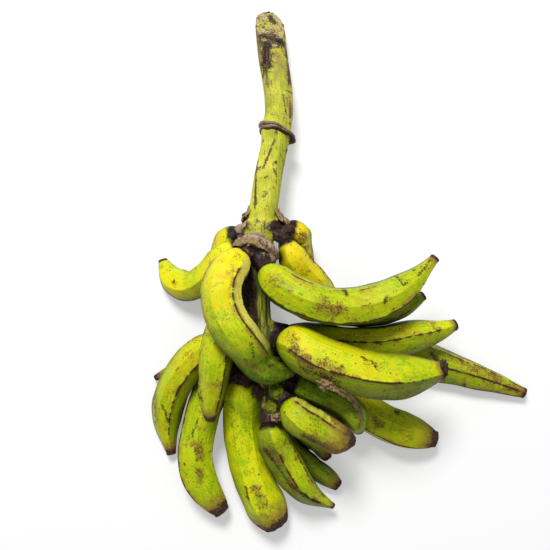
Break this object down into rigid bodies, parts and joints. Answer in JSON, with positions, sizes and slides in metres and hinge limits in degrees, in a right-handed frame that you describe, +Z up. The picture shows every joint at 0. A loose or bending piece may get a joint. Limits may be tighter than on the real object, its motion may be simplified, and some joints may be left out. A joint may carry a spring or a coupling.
{
  "type": "bunch of plantains",
  "caption": "Whole cut bunch of green and yellow cooking plantains on its stalk, lying on its side, with hands of curved, ridged fruit.",
  "frame": {"origin": "middle of the bunch's bounding box, on the surface that it lies on", "axes": "+Z up from the surface, +Y along the stalk towards its cut end, +X to the side that the longest fruit reach to"},
  "size_m": [0.4736, 0.671, 0.1472],
  "materials": {
    "stalk": "matte fibrous green stem with brown blotches",
    "green_skin": "waxy green fruit skin",
    "yellow_green_skin": "waxy yellow-green fruit skin",
    "olive_skin": "waxy olive fruit skin with brown marks",
    "yellow_skin": "waxy ripe yellow fruit skin"
  },
  "bodies": {
    "root": {"stalk": "stalk", "hand_1_fruit_1": "yellow_skin", "hand_1_fruit_2": "yellow_green_skin", "hand_1_fruit_3": "yellow_skin", "hand_1_fruit_4": "yellow_skin", "hand_2_fruit_1": "yellow_green_skin", "hand_2_fruit_2": "olive_skin", "hand_2_fruit_3": "yellow_green_skin", "hand_2_fruit_4": "green_skin", "hand_3_fruit_1": "yellow_green_skin", "hand_3_fruit_2": "yellow_green_skin", "hand_3_fruit_3": "yellow_green_skin", "hand_3_fruit_4": "yellow_green_skin", "hand_3_fruit_5": "olive_skin", "hand_4_fruit_1": "green_skin", "hand_4_fruit_2": "green_skin", "hand_4_fruit_3": "yellow_green_skin", "hand_4_fruit_4": "green_skin", "hand_4_fruit_5": "green_skin", "hand_4_fruit_6": "green_skin", "hand_4_fruit_7": "green_skin", "hand_4_fruit_8": "olive_skin"}
  },
  "joints": []
}
